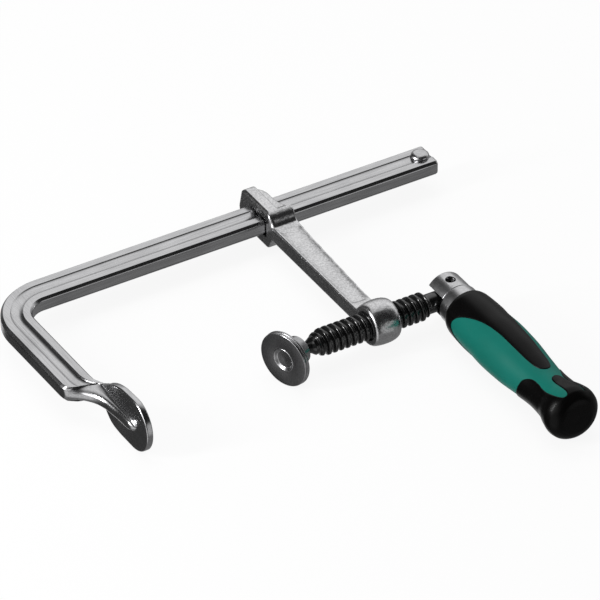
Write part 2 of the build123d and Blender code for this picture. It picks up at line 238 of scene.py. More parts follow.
def colour_mix(tree, factor, first, second, kind="MIX"):
    """Mix of two colours, each given as a value or as the socket it comes from."""
    node = tree.nodes.new("ShaderNodeMix")
    node.data_type = "RGBA"
    node.blend_type = kind
    sockets = {socket.identifier: socket for socket in node.inputs}
    for name, value in (("Factor_Float", factor), ("A_Color", first), ("B_Color", second)):
        if isinstance(value, bpy.types.NodeSocket):
            tree.links.new(value, sockets[name])
        else:
            sockets[name].default_value = value
    return [socket for socket in node.outputs if socket.identifier == "Result_Color"][0]


class Finish:
    """Small builder for one node material."""

    def __init__(self, name):
        self.material = bpy.data.materials.new(name)
        self.material.use_nodes = True
        self.nodes = self.material.node_tree.nodes
        self.links = self.material.node_tree.links
        self.shader = self.nodes["Principled BSDF"]
        self.place = self.nodes.new("ShaderNodeTexCoord").outputs["Object"]

    def set(self, **values):
        for key, value in values.items():
            socket = self.shader.inputs[key.replace("_", " ")]
            socket.default_value = value

    def mapped(self, scale):
        node = self.nodes.new("ShaderNodeMapping")
        node.inputs["Scale"].default_value = scale
        self.links.new(self.place, node.inputs["Vector"])
        return node.outputs["Vector"]

    def noise(self, scale, detail=4.0, rough=0.5, stretch=None):
        node = self.nodes.new("ShaderNodeTexNoise")
        node.inputs["Scale"].default_value = scale
        node.inputs["Detail"].default_value = detail
        node.inputs["Roughness"].default_value = rough
        self.links.new(self.mapped(stretch) if stretch else self.place, node.inputs["Vector"])
        return node.outputs["Fac"]

    def ramp(self, source, stops):
        node = self.nodes.new("ShaderNodeValToRGB")
        ramp = node.color_ramp
        while len(ramp.elements) < len(stops):
            ramp.elements.new(0.5)
        for element, (position, colour) in zip(ramp.elements, stops):
            element.position = position
            element.color = (*colour, 1) if len(colour) == 3 else colour
        self.links.new(source, node.inputs["Fac"])
        return node.outputs["Color"]

    def spread(self, source, low, high):
        node = self.nodes.new("ShaderNodeMapRange")
        node.inputs["To Min"].default_value = low
        node.inputs["To Max"].default_value = high
        self.links.new(source, node.inputs["Value"])
        return node.outputs["Result"]

    def across(self, axis, low, high):
        """0 to 1 between two places along an axis."""
        split = self.nodes.new("ShaderNodeSeparateXYZ")
        self.links.new(self.place, split.inputs[0])
        node = self.nodes.new("ShaderNodeMapRange")
        node.interpolation_type = "SMOOTHSTEP"
        node.inputs["From Min"].default_value = low
        node.inputs["From Max"].default_value = high
        self.links.new(split.outputs[axis], node.inputs["Value"])
        return node.outputs["Result"]

    def mix(self, factor, first, second, kind="MIX"):
        return colour_mix(self.material.node_tree, factor, first, second, kind)

    def bump(self, source, strength, distance, normal=None):
        node = self.nodes.new("ShaderNodeBump")
        node.inputs["Strength"].default_value = strength
        node.inputs["Distance"].default_value = distance
        self.links.new(source, node.inputs["Height"])
        if normal:
            self.links.new(normal, node.inputs["Normal"])
        return node.outputs["Normal"]

    def use(self, **sources):
        for key, source in sources.items():
            self.links.new(source, self.shader.inputs[key.replace("_", " ")])
        return self.material


def plated_steel(name, light, dark, rough, mottle=0.0, drawn=False, dents=0.0):
    """Bright plating: fine grain, faint clouding, forging marks and lengthwise rolling marks."""
    finish = Finish(name)
    finish.set(Metallic=1.0)
    fine = finish.noise(1700.0, 3.0, 0.6)
    cloud = finish.noise(60.0, 5.0, 0.55)
    tone = finish.ramp(cloud, [(0.25, dark), (0.75, light)])
    speck = finish.ramp(fine, [(0.3, (0.84,) * 3), (0.7, (1.0,) * 3)])
    colour = finish.mix(1.0, tone, speck, "MULTIPLY")
    normal = finish.bump(fine, 0.12, 0.00004)
    if mottle:
        patch = finish.noise(800.0, 4.0, 0.65)
        dots = finish.ramp(patch, [(0.40, (1 - mottle,) * 3), (0.58, (1.0,) * 3)])
        colour = finish.mix(1.0, colour, dots, "MULTIPLY")
        normal = finish.bump(patch, min(mottle * 1.6, 0.6), 0.00018, normal)
    if dents:
        normal = finish.bump(finish.noise(340.0, 3.0, 0.55), dents, 0.0005, normal)
    if drawn:
        along_rail = finish.noise(1500.0, 3.0, 0.6, (0.03, 1.0, 1.0))
        along_arm = finish.noise(1500.0, 3.0, 0.6, (1.0, 0.03, 1.0))
        rail_share = finish.across("X", -0.004, 0.012)
        streak = finish.mix(rail_share, along_arm, along_rail)
        lines = finish.ramp(streak, [(0.34, (0.78,) * 3), (0.6, (1.0,) * 3)])
        colour = finish.mix(1.0, colour, lines, "MULTIPLY")
        normal = finish.bump(streak, 0.1, 0.00005, normal)
    roughness = finish.spread(cloud, rough - 0.04, rough + 0.07)
    return finish.use(Base_Color=colour, Roughness=roughness, Normal=normal)


def black_oxide():
    """Glossy black spindle with an oily sheen and faint turning marks."""
    finish = Finish("black_oxide")
    finish.set(Metallic=0.0, Specular_IOR_Level=0.9)
    marks = finish.noise(900.0, 3.0, 0.5, (6.0, 1.0, 1.0))
    film = finish.noise(90.0, 4.0, 0.6)
    colour = finish.ramp(film, [(0.3, (0.003, 0.003, 0.003)), (0.8, (0.009, 0.009, 0.0095))])
    roughness = finish.spread(film, 0.12, 0.2)
    normal = finish.bump(marks, 0.1, 0.00005)
    return finish.use(Base_Color=colour, Roughness=roughness, Normal=normal)


def moulded(name, light, dark, rough, grain, grain_depth, specular):
    """Moulded plastic or rubber with a spark-eroded grain."""
    finish = Finish(name)
    finish.set(Specular_IOR_Level=specular)
    cloud = finish.noise(45.0, 4.0, 0.5)
    fine = finish.noise(grain, 3.0, 0.6)
    colour = finish.ramp(cloud, [(0.3, dark), (0.75, light)])
    roughness = finish.spread(fine, rough - 0.06, rough + 0.08)
    normal = finish.bump(fine, 0.25, grain_depth)
    return finish.use(Base_Color=colour, Roughness=roughness, Normal=normal)


def grey(tone):
    """Neutral metal colour with a trace of blue."""
    return (tone, tone, tone + 0.01)


STEEL = plated_steel("rail_plating", grey(0.66), grey(0.56), 0.21, drawn=True)
FORGED = plated_steel("forged_plating", grey(0.82), grey(0.66), 0.25, mottle=0.26, dents=0.35)
BRIGHT = plated_steel("bright_plating", grey(0.68), grey(0.56), 0.27, mottle=0.12)
TURNED = plated_steel("turned_plating", grey(0.5), grey(0.4), 0.23, mottle=0.14)
DARK = plated_steel("oiled_steel", grey(0.16), (0.08, 0.08, 0.085), 0.33, mottle=0.1)
OXIDE = black_oxide()
TEAL = moulded(
    "teal_plastic", light=(0.005, 0.152, 0.12), dark=(0.004, 0.132, 0.102), rough=0.4,
    grain=2600.0, grain_depth=0.00002, specular=0.13,
)
RUBBER = moulded(
    "black_rubber", light=(0.0028, 0.0026, 0.0026), dark=(0.0016, 0.0015, 0.0015), rough=0.27,
    grain=3000.0, grain_depth=0.00003, specular=0.1,
)


# ---- rail, fixed arm and jaw: one forging -----------------------------------------------------

THROAT_AXIS = 116.5
RAIL_END = 262.5
HALF_BAR = 9.5
HALF_THICK = 4.7
CHAMFER = 1.5
ARM_X = -13.5
BEND_OUTER = 35.5
BEND_INNER = 13.0
LEG_END = 36.0
RAIL_GROOVE = 0.8
ARM_GROOVE = 1.2
JAW_THICK = 4.0
JAW_TIP_Y = -27.5
JAW_R = 16.0
RIM = 0.9

outer_side = curve_through([
    (-15.2, -4.0), (-14.6, -4.7), (-13.2, -5.9), (-11, -6.6), (-8, -6.8), (-2, -6.9), (9.5, -8.3),
    (14, -9.6), (17.5, -11.2), (23.2, -15.4), (27.3, -20.0), (30.5, -22.4), (34, -23.0),
])
inner_side = curve_through([(20.0, 0.0), (24.4, -1.5), (27.0, -2.6), (30.0, -3.7), (34.0, -4.0)])
upper_width = curve_through([
    (-11.5, 16.0), (0, 15.4), (6, 14.0), (10, 12.4), (14.5, 9.8), (19.5, 6.2), (24, 4.9),
    (28, HALF_THICK),
])
lower_width = curve_through([
    (-11.5, 16.0), (0, 15.9), (8, 15.2), (12, 14.0), (16.5, 10.9), (20.5, 6.6), (25, 4.9),
    (28, HALF_THICK),
])
rib_width = curve_through([
    (-15.0, 0.3), (-14.4, 1.2), (-13, 2.1), (-11, 2.9), (-8, 3.3), (4, 3.5), (14, 3.7), (20, 4.0),
    (26, 4.4), (30, 4.6),
])
RIB_SINK = 0.9
BEAD_HIGH = 0.45
BEAD_WIDE = 0.9
RIB_FOOT = 1.1
EDGE_Q = 1 - CHAMFER / HALF_BAR
GROOVE_SIDE = [(3.8, 0.0, 0.35), (3.2, 0.5, 0.3), (2.5, 0.82, 0.4), (1.5, 1.1, 0.5)]
GROOVE_DEEP = 1.25


def bar_profile():
    """Half outline of the bar, from the middle of its outer side over the top to its inner side.

    Points are (q, z), and q runs from 1 on the outer side to -1 on the inner side.
    """
    down = [(x, HALF_THICK - drop, turn) for x, drop, turn in GROOVE_SIDE]
    up = [(-x, z, turn) for x, z, turn in reversed(down)]
    edge = HALF_BAR - CHAMFER
    corners = [
        (HALF_BAR, -HALF_THICK), (HALF_BAR, HALF_THICK - CHAMFER, 0.55), (edge, HALF_THICK, 0.25),
        *down, (0, HALF_THICK - GROOVE_DEEP, 0.5), *up,
        (-edge, HALF_THICK, 0.25), (-HALF_BAR, HALF_THICK - CHAMFER, 0.55), (-HALF_BAR, -HALF_THICK),
    ]
    outline = [(p.x / HALF_BAR, p.y) for p in rounded(corners, 0.2, 3)[4:-4]]
    face = [HALF_THICK * s for s in (0.0, 0.15, 0.3, 0.45, 0.6)]
    top = []
    for a, b in zip(outline, outline[1:]):
        gap = hypot((a[0] - b[0]) * HALF_BAR, a[1] - b[1])
        pieces = max(1, round(gap / 0.6))
        for k in range(pieces):
            top.append((between(a[0], b[0], k / pieces), between(a[1], b[1], k / pieces)))
    top.append(outline[-1])
    return [(1, z) for z in face] + top + [(-1, z) for z in reversed(face)]


HALF_LOOP = bar_profile()
FULL_LOOP = HALF_LOOP + [(q, -z) for q, z in reversed(HALF_LOOP[1:-1])]


def groove(q, z, depth):
    """Height of a point on the bar, with the groove as deep as it is there."""
    if abs(q) > 0.5:
        return z
    return (HALF_THICK - (HALF_THICK - abs(z)) * depth) * (1 if z > 0 else -1)


def jaw_distance(y, z, width):
    """How far a point of the pad lies inside its outline."""
    if y < JAW_TIP_Y + JAW_R:
        return JAW_R - hypot(y - JAW_TIP_Y - JAW_R, z)
    slope = width(y + 0.5) - width(y - 0.5)
    return (width(y) - abs(z)) / sqrt(1 + slope * slope)


def half_width(y, width):
    """Half width of the pad at y, round at its tip."""
    centre = JAW_TIP_Y + JAW_R
    if y < centre:
        return sqrt(max(JAW_R ** 2 - (y - centre) ** 2, 0.0))
    return width(y)


def jaw_point(y, q, z):
    """Where a point of the bar's outline goes on the jaw: rib, its foot, back of the pad or face."""
    sign = 1 if z >= 0 else -1
    width = upper_width if sign > 0 else lower_width
    wide = half_width(y, width)
    rib = min(rib_width(y), wide)
    foot = min(rib + RIB_FOOT, wide)
    height = max(-JAW_THICK - outer_side(y), 0.0)
    if y > JAW_TIP_Y + JAW_R:
        sink = -RIB_SINK * ease((20 - y) / 20)
    else:
        sink = -RIB_SINK * min(wide / JAW_R, 1.0)
    if q < -EDGE_Q - 0.001:
        share = 1 - abs(z) / HALF_THICK
        across = wide * (1 - max(share, 0.0) ** 1.6)
        face = inner_side(y) - roll_off(jaw_distance(y, across, width), RIM)
        return Vector((face, y, sign * across))
    if q > EDGE_Q + 0.001:
        turn = abs(z) / HALF_THICK * pi / 2 * 0.85
        across = rib * sin(turn) ** 0.667
        x = -JAW_THICK - height * cos(turn) ** 0.667
        side = sink
    else:
        share = (EDGE_Q - q) / (2 * EDGE_Q)
        if share < 0.25:
            run = share / 0.25
            across = between(rib * 0.98, foot, run)
            x = -JAW_THICK - height * 0.379 * (1 - run) ** 2
            side = sink
        else:
            run = (share - 0.25) / 0.75
            across = foot + (wide - foot) * (1 - (1 - run) ** 1.5)
            x = -JAW_THICK
            side = sink * (1 - run)
    lift = roll_off(jaw_distance(y, across, width), RIM)
    return Vector((x + lift, y, sign * across + side))


def arm_point(y, q, z):
    """A point of the bar's outline on the fixed arm, which narrows into the jaw."""
    height = groove(q, z, ARM_GROOVE)
    if -EDGE_Q < q < 0:
        q = -EDGE_Q * (-q / EDGE_Q) ** (1 - 0.45 * ease((38 - y) / 14))
    return Vector((between(inner_side(y), outer_side(y), (q + 1) / 2), y, height))


def arm_to_jaw(y, q, z):
    """Blend from the arm's outline to the jaw's along a slanting crease."""
    share = (q + 1) / 2
    crease = between(20.4, 27.3, share)
    length = between(2.6, 9.0, ease((q - 0.6) / 0.4))
    t = ease((crease - y) / length + 0.5)
    point = arm_point(y, q, z).lerp(jaw_point(y, q, z), t)
    if abs(z) > HALF_THICK / 2:
        bead = BEAD_HIGH * exp(-((y - crease - 0.6) / BEAD_WIDE) ** 2)
        point.z += bead if z > 0 else -bead
    return point


def bar_stations():
    """Functions that place an outline point, one for each row of the bar."""
    rows = []
    bend_x = ARM_X - HALF_BAR + BEND_OUTER

    def straight(x, shrink):
        def put(q, z):
            deep = groove(q, z, RAIL_GROOVE)
            return Vector((x, THROAT_AXIS + q * (HALF_BAR - shrink), deep * (1 - shrink / HALF_THICK)))
        return put

    def bend(turn):
        angle = turn * pi / 2
        outer = Vector((bend_x, THROAT_AXIS + HALF_BAR - BEND_OUTER))
        inner = Vector((ARM_X + HALF_BAR + BEND_INNER, THROAT_AXIS - HALF_BAR - BEND_INNER))
        out = outer + BEND_OUTER * Vector((-sin(angle), cos(angle)))
        back = inner + BEND_INNER * Vector((-sin(angle), cos(angle)))

        def put(q, z):
            spot = back.lerp(out, (q + 1) / 2)
            return Vector((spot.x, spot.y, groove(q, z, between(RAIL_GROOVE, ARM_GROOVE, ease(turn)))))
        return put

    def arm(y):
        def put(q, z):
            return arm_to_jaw(y, q, z)
        return put

    def leg(y):
        def put(q, z):
            return Vector((ARM_X - q * HALF_BAR, y, groove(q, z, ARM_GROOVE)))
        return put

    for inset, shrink in ((0, 1.5), (0.25, 0.8), (0.8, 0.22), (1.5, 0)):
        rows.append(straight(RAIL_END - inset, shrink))
    for k in range(1, 25):
        rows.append(straight(between(RAIL_END - 1.5, bend_x, k / 24), 0))
    for k in range(1, 41):
        rows.append(bend(k / 40))
    leg_top = THROAT_AXIS + HALF_BAR - BEND_OUTER
    for k in range(1, 16):
        rows.append(leg(between(leg_top, LEG_END, k / 15)))
    for k in range(1, 90):
        rows.append(arm(between(LEG_END, JAW_TIP_Y + JAW_R, k / 89)))
    for k in range(1, 49):
        rows.append(arm(JAW_TIP_Y + JAW_R * (1 - sin(k / 48 * pi / 2))))
    return rows


def build_rail():
    rows = bar_stations()
    columns = len(FULL_LOOP)

    def place(row, column):
        q, z = FULL_LOOP[column % columns]
        return rows[row](q, z) * MM
    mesh = surface(len(rows) - 1, columns, place)
    close_ends(mesh)
    return new_piece("grooved_rail", mesh, "frame", STEEL, ["rail_and_fixed_jaw"], 50)


# (how far below the top, radius) of a rivet head, down to the shank inside the bar
RIVET_DOME = [
    (0.0, 3.1), (0.12, 3.7), (0.5, 4.4), (1.0, 4.95), (1.6, 5.2), (2.1, 5.15), (2.5, 4.9), (3.5, 4.9),
    (3.5, 2.5),
]
RIVET_HIGH = 2.5
RIVET_INSET = 6.7


def build_rivet():
    lip = HALF_THICK + RIVET_HIGH
    under = [(-lip + drop, radius) for drop, radius in RIVET_DOME]
    upper = [(lip - drop, radius) for drop, radius in reversed(RIVET_DOME)]
    outline = [(-lip, 0), *under, *upper, (lip, 0)]
    mesh = turned(outline, (0, 0, 1), (RAIL_END - RIVET_INSET, THROAT_AXIS, 0), 64)
    return new_piece("rivet_heads", mesh, "frame", BRIGHT, ["end_stop_rivet"], 30)


# ---- sliding arm ------------------------------------------------------------------------------

SLIDE_X = 149.6
HEAD_NEAR = 103.0
HEAD_FAR = 136.0
SHOULDER_TOP = 11.1
SHOULDER_BACK = 119.0
SHOULDER_WIDE = 16.3
BRIDGE_WIDE = 7.6
BOSS_X = 149.9
BOSS_END = BOSS_X + 17.0
BORE_R = 8.4
BORE_MOUTH_R = 10.4
PLAY = 0.35
FORGE_VOXEL = 0.5
DISH = 1.1
DISH_FROM = 15.2
DISH_TO = 99

shoulder_near = curve_through([
    (0, 96.0), (3.2, 96.0), (4.0, 97.4), (5.0, 99.0), (6.3, 100.3), (8.4, 101.6), (9.6, 102.8),
    (10.4, 104.2), (SHOULDER_TOP, 106.2),
])


def shoulder_ring(z):
    """Outline of the head's raised shoulder at a height; it leans back above and below the beam."""
    near = shoulder_near(abs(z))
    slope = (abs(z) - 4.4) / (SHOULDER_TOP - 4.4)
    back = between(SHOULDER_BACK, near + 0.6, min(1.0, max(0.0, slope)))
    turn = min(2.8, (back - near) * 0.45)
    right = SLIDE_X + SHOULDER_WIDE
    return rounded([
        (SLIDE_X, back), (SLIDE_X, near, turn), (right, near, turn * 0.6), (right, back),
    ], 0.1, 6)


def arm_shoulder():
    levels = [SHOULDER_TOP * sin(k / 30 * pi / 2) for k in range(-30, 31)]
    rings = [shoulder_ring(z) for z in levels]
    columns = len(rings[0])

    def place(row, column):
        return Vector((*rings[row][column % columns], levels[row])) * MM
    mesh = surface(len(rings) - 1, columns, place)
    close_ends(mesh)
    return mesh


def arm_blanks():
    """The plain shapes that the forging blends together."""
    left = SLIDE_X
    far = HEAD_FAR
    right = left + SHOULDER_WIDE
    beam = prism(rounded([
        (left, 112), (left, 2), (left + 12.2, 2), (left + 12.7, 25), (left + 15.0, 86),
        (left + 15.9, 97, 3),
        (right, 104, 2), (right, 112),
    ], 0.5), "Z", -HALF_THICK, HALF_THICK)
    loop = prism(rounded([
        (left, 106), (left, far - 4, 3), (left + 4, far, 3), (left + 10, far - 1, 3),
        (left + 13.5, far - 6, 3), (left + 14.0, 118, 3), (left + 15.8, 113, 1.5), (left + 15.8, 105.5),
    ], 1.0), "Z", -6.4, 6.9)
    bridge = prism(rounded([
        (HEAD_NEAR - 1, -8), (HEAD_NEAR + 1, -12.2, 3), (HEAD_NEAR + 16, -12.2, 4), (far - 2, -7, 5),
        (far + 0.4, -3, 3), (far - 2.5, 9.5, 2), (far - 4.5, 11.2, 1.5), (HEAD_NEAR + 3.4, 11.2, 1.0),
        (HEAD_NEAR + 1.6, 10.4, 1.0), (HEAD_NEAR - 1, 8.0, 1),
    ], 1.0), "X", left, left + BRIDGE_WIDE)
    barrel = [(BOSS_X + x, radius) for x, radius in (
        (0, 11.0), (1.0, 11.9), (3, 12.4), (6, 12.7), (8.5, 12.75), (11, 12.65), (13.5, 12.2),
        (15.5, 11.4), (16.5, 10.5), (17, 9.6),
    )]
    boss = turned([(BOSS_X, 0), *barrel, (BOSS_END, 0)], (1, 0, 0), (0, 0, 0), 96)
    return joined([beam, loop, arm_shoulder(), bridge, boss])


def arm_openings():
    """Bore for the spindle, and the bar's passage with its widened mouth and the chamfer above it."""
    left = SLIDE_X
    bore = turned([
        (BOSS_X - 6, 0), (BOSS_X - 6, BORE_MOUTH_R), (BOSS_X + 1.0, BORE_R), (BOSS_END - 1.0, BORE_R),
        (BOSS_END + 6, BORE_MOUTH_R), (BOSS_END + 6, 0),
    ], (1, 0, 0), (0, 0, 0), 96)
    near = THROAT_AXIS - HALF_BAR - PLAY
    far = THROAT_AXIS + HALF_BAR + PLAY
    half_z = HALF_THICK + PLAY
    passage = prism(rounded([
        (near, -half_z), (far, -half_z), (far, half_z), (near, half_z),
    ], 0.6), "X", left - 6, left + 30)
    mouth = prism([
        (left - 1, near - 0.8), (left - 1, far + 2.5), (left + 4.5, far), (left + 2.5, near),
    ], "Z", -half_z - 0.9, half_z + 0.9)
    edge = prism([(left - 0.6, 8.8), (left + 2.1, 11.9), (left - 0.6, 11.9)], "Y", 100, 140)
    return [bore, passage, mouth, edge]


def build_sliding_arm():
    mesh = arm_blanks()
    piece = new_piece("forged_slider", mesh, "slider", FORGED, ["sliding_arm"], 60)
    forge = piece.modifiers.new("forge", "REMESH")
    forge.mode = "VOXEL"
    forge.voxel_size = FORGE_VOXEL * MM
    forge.use_smooth_shade = True
    soften = piece.modifiers.new("soften", "SMOOTH")
    soften.factor = 0.5
    soften.iterations = 7
    apply_modifiers(piece)
    for vertex in piece.data.vertices:
        x, y, z = vertex.co / MM
        across = (x - SLIDE_X) / between(12.7, 15.0, (y - 25) / 61)
        hollow = max(0.0, 1 - ((across - 0.53) / 0.45) ** 2) ** 0.8
        ends = ease((y - DISH_FROM) / 3.0) * ease((DISH_TO - y) / 6)
        depth = DISH * hollow * ends * ease((abs(z) - 1.5) / 2.5)
        vertex.co.z -= depth * MM if z > 0 else -depth * MM
    cut(piece, arm_openings())
    shade(piece, 60)
    return piece


# ---- spindle ------------------------------------------------------------------------------------

PITCH = 4.0
THREAD_R = 8.0
ROOT_R = 6.1
THREAD_FROM = 113.0
THREAD_TO = 187.2
BALL_X = 105.9
BALL_R = 4.6
BALL_CUT = 3.6
NECK_R = 5.7
EYE_R = 3.06
HINGE_X = 204.0

core_radius = curve_through([
    (BALL_X + BALL_CUT, 2.9), (BALL_X + 5.2, 2.95), (113.5, 3.9), (117.0, 6.2), (120.0, 7.4),
    (123.0, THREAD_R), (THREAD_TO - 1.5, THREAD_R), (THREAD_TO + 0.6, NECK_R + 0.3),
    (THREAD_TO + 2.0, NECK_R),
    (HINGE_X, NECK_R),
])


def thread_depth(x, angle):
    """0 on a crest and 1 at the root of the right-hand thread."""
    turn = ((x - THREAD_FROM) / PITCH - angle / (2 * pi)) % 1.0
    away = abs(turn - 0.5) * 2
    form = ease((away - 0.24) / 0.5)
    start = ease((x - THREAD_FROM - 1) / 7.0)
    stop = ease((THREAD_TO + 0.5 - x) / 2.0)
    return (1 - form) * start * stop


def spindle_rows():
    """(x, radius, whether the thread is cut there) from the ball to the rounded eye."""
    rows = []
    for k in range(25):
        angle = pi - (pi - acos(BALL_CUT / BALL_R)) * k / 24
        rows.append((BALL_X + BALL_R * cos(angle), BALL_R * sin(angle), False))
    for k in range(1, 17):
        x = between(BALL_X + BALL_CUT, THREAD_FROM, k / 16)
        rows.append((x, core_radius(x), False))
    for k in range(1, 441):
        x = between(THREAD_FROM, THREAD_TO + 2, k / 440)
        rows.append((x, core_radius(x), True))
    for k in range(1, 9):
        rows.append((between(THREAD_TO + 2, HINGE_X, k / 8), NECK_R, False))
    for k in range(1, 13):
        angle = k / 12 * pi / 2
        rows.append((HINGE_X + NECK_R * sin(angle), NECK_R * cos(angle), False))
    return rows


def build_spindle():
    rows = spindle_rows()
    columns = 90

    def place(row, column):
        x, radius, cut_thread = rows[row]
        angle = 2 * pi * (column % columns) / columns
        if cut_thread:
            radius -= (THREAD_R - ROOT_R) * thread_depth(x, angle)
        return Vector((x, radius * cos(angle), radius * sin(angle))) * MM
    mesh = surface(len(rows) - 1, columns, place)
    piece = new_piece("threaded_spindle", mesh, "screw", OXIDE, ["spindle"], 60)
    cut(piece, [turned([(-9, 0), (-9, EYE_R), (9, EYE_R), (9, 0)], (0, 0, 1), (HINGE_X, 0, 0), 48)])
    shade(piece, 50)
    return piece


# ---- swivel plate -------------------------------------------------------------------------------

PLATE_TILT = radians(18.5)
FACE_X = BALL_X - 11.4
PLATE_R = 16.2
PLATE_THICK = 3.4
SOCKET_R = 8.2
CUP_R = 6.2
LIP_R = 4.35


def tilt_to_rest(mesh):
    """Turn a plate piece about the ball to the angle at which it hangs."""
    turn = Matrix.Rotation(PLATE_TILT, 4, "Z")
    bmesh.ops.rotate(mesh, cent=(BALL_X * MM, 0, 0), matrix=turn, verts=mesh.verts)


def build_plate():
    back = FACE_X + PLATE_THICK
    outline = rounded([
        (FACE_X, 7.0, 0.05), (FACE_X, PLATE_R - 0.1, 0.5), (FACE_X + 1.45, PLATE_R, 0.35),
        (FACE_X + 1.75, PLATE_R - 0.55, 0.1), (FACE_X + 2.05, PLATE_R + 0.1, 0.35),
        (back - 0.1, PLATE_R + 0.15, 0.5), (back, 8.9, 0.3), (back + 0.8, 8.4, 0.2),
        (back + 0.8, 7.0, 0.05),
    ], 0.3, 4)
    mesh = turned([tuple(p) for p in outline], (1, 0, 0), (0, 0, 0), 128)
    tilt_to_rest(mesh)
    return new_piece("swivel_plate", mesh, "swivel", TURNED, ["pressure_plate"], 35)


def build_socket():
    back = FACE_X + PLATE_THICK
    rear = BALL_X + 2.2
    outline = rounded([
        (FACE_X + 1.15, 0.0, 0.01), (FACE_X + 1.1, 5.0, 0.3), (FACE_X - 0.05, 6.3, 0.3),
        (FACE_X - 0.2, 6.8, 0.2), (FACE_X, 7.1, 0.1), (FACE_X + 0.4, 7.15, 0.1),
        (FACE_X + 0.9, 7.2, 0.1),
        (back + 0.4, 7.2, 0.1), (back + 0.6, 8.8, 0.3), (back + 2.0, SOCKET_R, 0.8),
        (rear - 0.2, SOCKET_R, 0.9), (rear, 7.4, 0.6), (rear, LIP_R, 0.2), (rear - 0.6, LIP_R, 0.1),
        (rear - 0.6, CUP_R, 0.1), (BALL_X - 4, CUP_R, 1.5), (BALL_X - 6.2, 3.0, 1.5),
        (BALL_X - 6.2, 0.0, 0.01),
    ], 0.3, 4)
    mesh = turned([tuple(p) for p in outline], (1, 0, 0), (0, 0, 0), 96)
    tilt_to_rest(mesh)
    return new_piece("ball_socket", mesh, "swivel", TURNED, ["swivel_socket"], 35)


# ---- handle: stations run from the fork's end towards -Y ------------------------------------------

FORK_END = 7.8
FORK_R = 11.5
FORK_CHEEK = 15.2
FERRULE_END = 23.7
COLLAR_END = 32.0
UNDER_FROM = 93.5
TOP_FROM = 112.6
KNOB_FROM = 134.2
KNOB_END = 139.0
CAP_R = 9.2
GRIP_TURN = radians(-5.0)
NECK_IN_R = 10.6
SHANK_R = 6.0
SHANK_END = 93.0
SLOT_HALF = 6.5
PROUD = 0.28
SKIN = 1.2
ROLL = 0.9

handle_radius = curve_through([
    (23.7, 12.9), (25.0, 13.55), (28.0, 14.3), (38.7, 15.0), (49.3, 15.3), (60.5, 15.8), (76.0, 15.3),
    (92.8, 13.6), (108.3, 12.4), (118.3, 12.9), (126.0, 14.9), (130.5, 15.7), (133.6, 15.3),
    (136.4, 13.6),
    (138.2, 11.4), (139.0, CAP_R),
])


def handle_point(station, radius, angle):
    """Point of the handle; the angle runs from the top towards the jaws."""
    turn = angle + GRIP_TURN
    return Vector((HINGE_X - radius * sin(turn), FORK_END - station, radius * cos(turn))) * MM


def build_fork():
    cheek = FORK_END - FORK_CHEEK
    sunk = FORK_END - FERRULE_END - 1
    outline = rounded([
        (FORK_END, 0, 0.01), (FORK_END, FORK_R, 1.3), (cheek + 0.15, FORK_R, 0.3),
        (cheek - 0.25, 10.7, 0.1), (sunk, NECK_IN_R, 0.1), (sunk, SHANK_R, 0.1),
        (FORK_END - SHANK_END, SHANK_R, 0.6),
        (FORK_END - SHANK_END, 0, 0.01),
    ], 0.3, 5)
    mesh = turned([tuple(p) for p in outline], (0, 1, 0), (HINGE_X, 0, 0), 96)
    piece = new_piece("fork_cheeks", mesh, "handle", BRIGHT, ["hinge_fork"], 35)
    slot = block((HINGE_X - 20, cheek, -SLOT_HALF), (HINGE_X + 20, FORK_END + 5, SLOT_HALF))
    hole = turned([(-15, 0), (-15, 3.0), (15, 3.0), (15, 0)], (0, 0, 1), (HINGE_X, 0, 0), 64)
    cut(piece, [slot, hole])
    bevel = piece.modifiers.new("worn_edges", "BEVEL")
    bevel.width = 0.35 * MM
    bevel.segments = 3
    bevel.limit_method = "ANGLE"
    bevel.angle_limit = radians(50)
    apply_modifiers(piece)
    shade(piece, 50)
    return piece


def build_ferrule():
    front = FORK_END - FORK_CHEEK
    rear = FORK_END - FERRULE_END
    outline = rounded([
        (front - 0.1, 10.62, 0.1), (front - 0.1, 11.3, 0.2), (front - 0.9, 12.0, 0.3),
        (rear - 0.6, 12.0, 0.1), (rear - 0.6, 10.62, 0.1),
    ], 0.2, 4)
    mesh = turned([tuple(p) for p in outline], (0, 1, 0), (HINGE_X, 0, 0), 96)
    return new_piece("ferrule_ring", mesh, "handle", BRIGHT, ["ferrule"], 35)


# half width, in degrees, of the front sleeve's tongue along the handle
front_tongue = curve_through([
    (COLLAR_END, 90), (32.3, 84), (33.2, 77), (35, 68), (37.5, 60), (40, 54.5), (43, 49),
    (47, 42.5), (51, 37.5),
    (57, 32.5), (63, 29.5), (70, 27.5), (80, 27), (91, 26), (97, 24.5), (101, 21.5), (103.5, 17),
    (105.2, 10),
    (106.0, 0),
])
# half width of the rear sleeve's short tongue on top
rear_tongue = curve_through([
    (TOP_FROM, 0), (113.0, 7), (113.8, 12), (115.5, 16), (118, 17.5), (126, 18), (131, 18), (133, 19.5),
    (KNOB_FROM, 24),
])
# half width of the core left bare between the top and the sleeve below, on the jaws' side
rear_gap = curve_through([
    (UNDER_FROM, 180), (93.7, 160), (94.6, 134), (95.6, 115), (97, 100), (98.5, 84), (100, 68),
    (102, 58.5),
    (104.5, 51), (108, 46.5), (112, 46), (116, 48), (119, 47.5), (122, 45.5), (126, 42), (129.5, 38.5),
    (132, 34.5), (133.6, 29), (KNOB_FROM, 24),
])
# the same on the far side
far_gap = curve_through([
    (UNDER_FROM, 180), (93.7, 160), (94.6, 134), (95.6, 115), (97, 100), (98.5, 84), (100, 68),
    (102, 57),
    (104.5, 47), (108, 36), (111, 27), (113.5, 21), (115.5, 18.4), (118, 18.3), (131, 18.5), (133, 20),
    (KNOB_FROM, 24),
])


